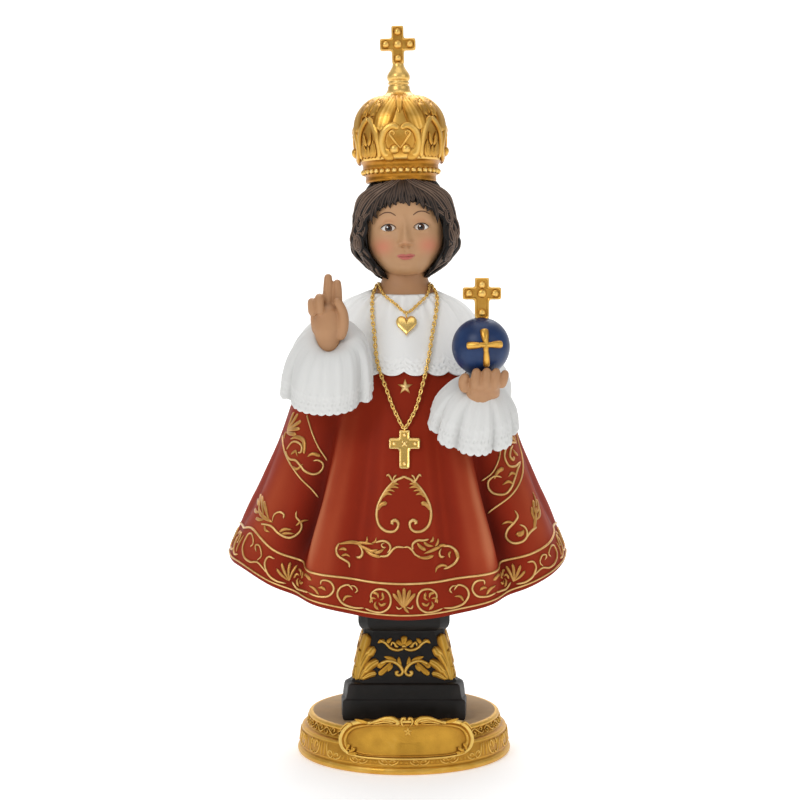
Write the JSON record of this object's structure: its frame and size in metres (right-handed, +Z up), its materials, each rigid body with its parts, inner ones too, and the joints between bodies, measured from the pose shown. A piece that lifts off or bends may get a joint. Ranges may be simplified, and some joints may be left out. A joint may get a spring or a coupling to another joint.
{
  "type": "infant of prague statue",
  "caption": "Painted resin statuette of a crowned Child in a wide red gown, blessing and holding an orb, on a black pedestal and a round gilt base.",
  "frame": {"origin": "centre of the round base's flat underside", "axes": "+Z up, the figure faces -Y, +X to the viewer's right"},
  "size_m": [0.142, 0.1015, 0.3006],
  "materials": {
    "red_paint": "satin painted resin",
    "white_paint": "satin painted resin",
    "skin_paint": "satin painted resin",
    "hair_paint": "satin painted resin",
    "blue_paint": "glossy painted resin",
    "black_paint": "satin painted resin",
    "gold_paint": "antique gold paint with a brown wash",
    "chain_metal": "bright gold plate"
  },
  "bodies": {
    "root": {"base": "gold_paint", "pedestal": "black_paint", "figure": "red_paint", "crown": "gold_paint", "orb": "blue_paint", "long_chain": "chain_metal", "cross_pendant": "chain_metal", "short_chain": "chain_metal", "heart_pendant": "chain_metal"}
  },
  "joints": []
}
